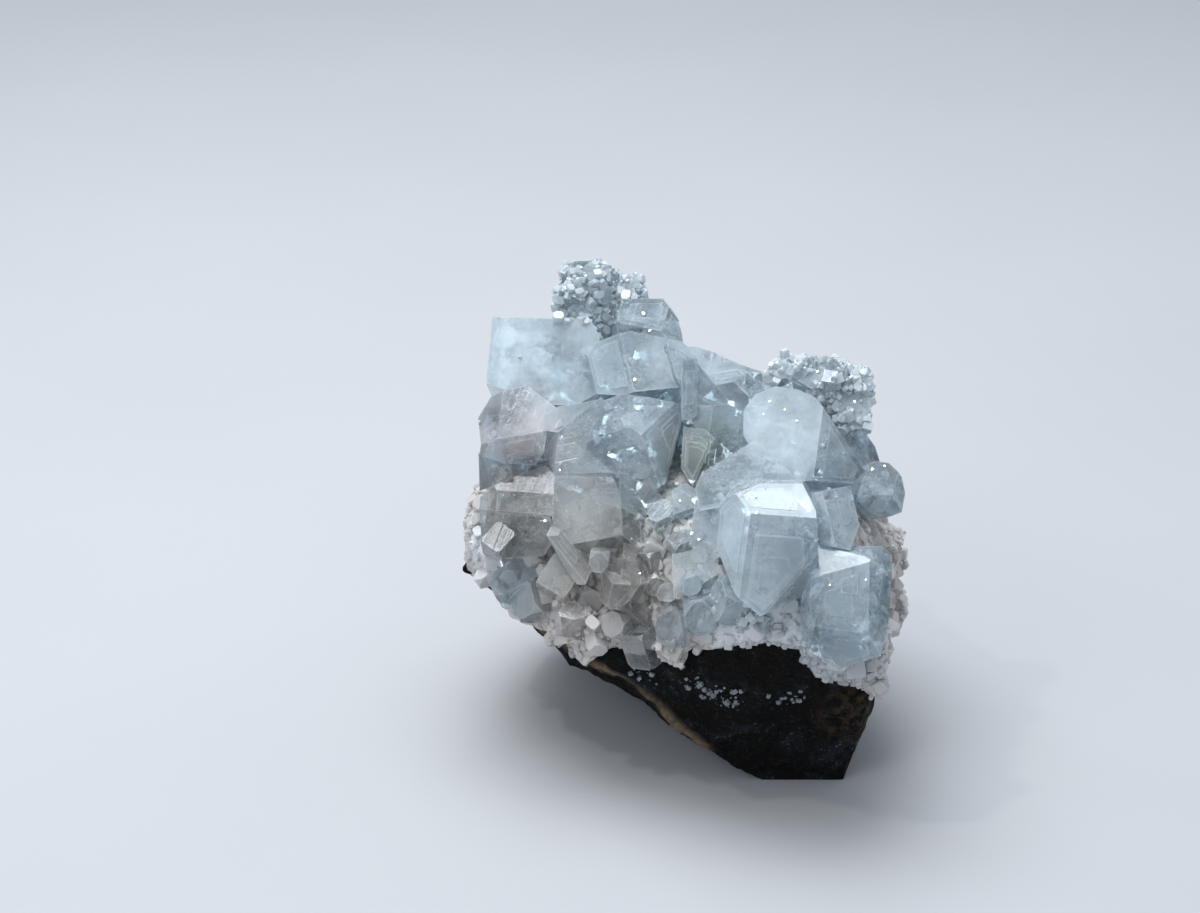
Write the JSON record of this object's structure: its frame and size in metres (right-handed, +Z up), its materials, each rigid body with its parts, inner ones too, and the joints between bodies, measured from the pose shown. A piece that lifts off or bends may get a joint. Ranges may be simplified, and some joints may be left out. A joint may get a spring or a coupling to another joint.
{
  "type": "apophyllite specimen",
  "caption": "Mineral specimen: a cluster of blocky, glassy apophyllite crystals grown over a pale druse crust on a wedge of dark basalt, resting on one flat broken face.",
  "frame": {"origin": "middle of the specimen's box, on the plane that it rests on", "axes": "+Z up, -Y towards the viewer who sees the showy face, +X to that viewer's right"},
  "size_m": [0.0458, 0.049, 0.0452],
  "materials": {
    "basalt": "rough broken rock, near black, with grey specks and a brown patch",
    "druse": "sugary crust of small pale crystals, warm grey, slightly see-through",
    "apophyllite": "glassy crystal faces, pale blue-white, clear to milky"
  },
  "bodies": {
    "root": {"basalt_matrix": "basalt", "druse_crust": "druse", "apophyllite_cluster": "apophyllite"}
  },
  "joints": []
}
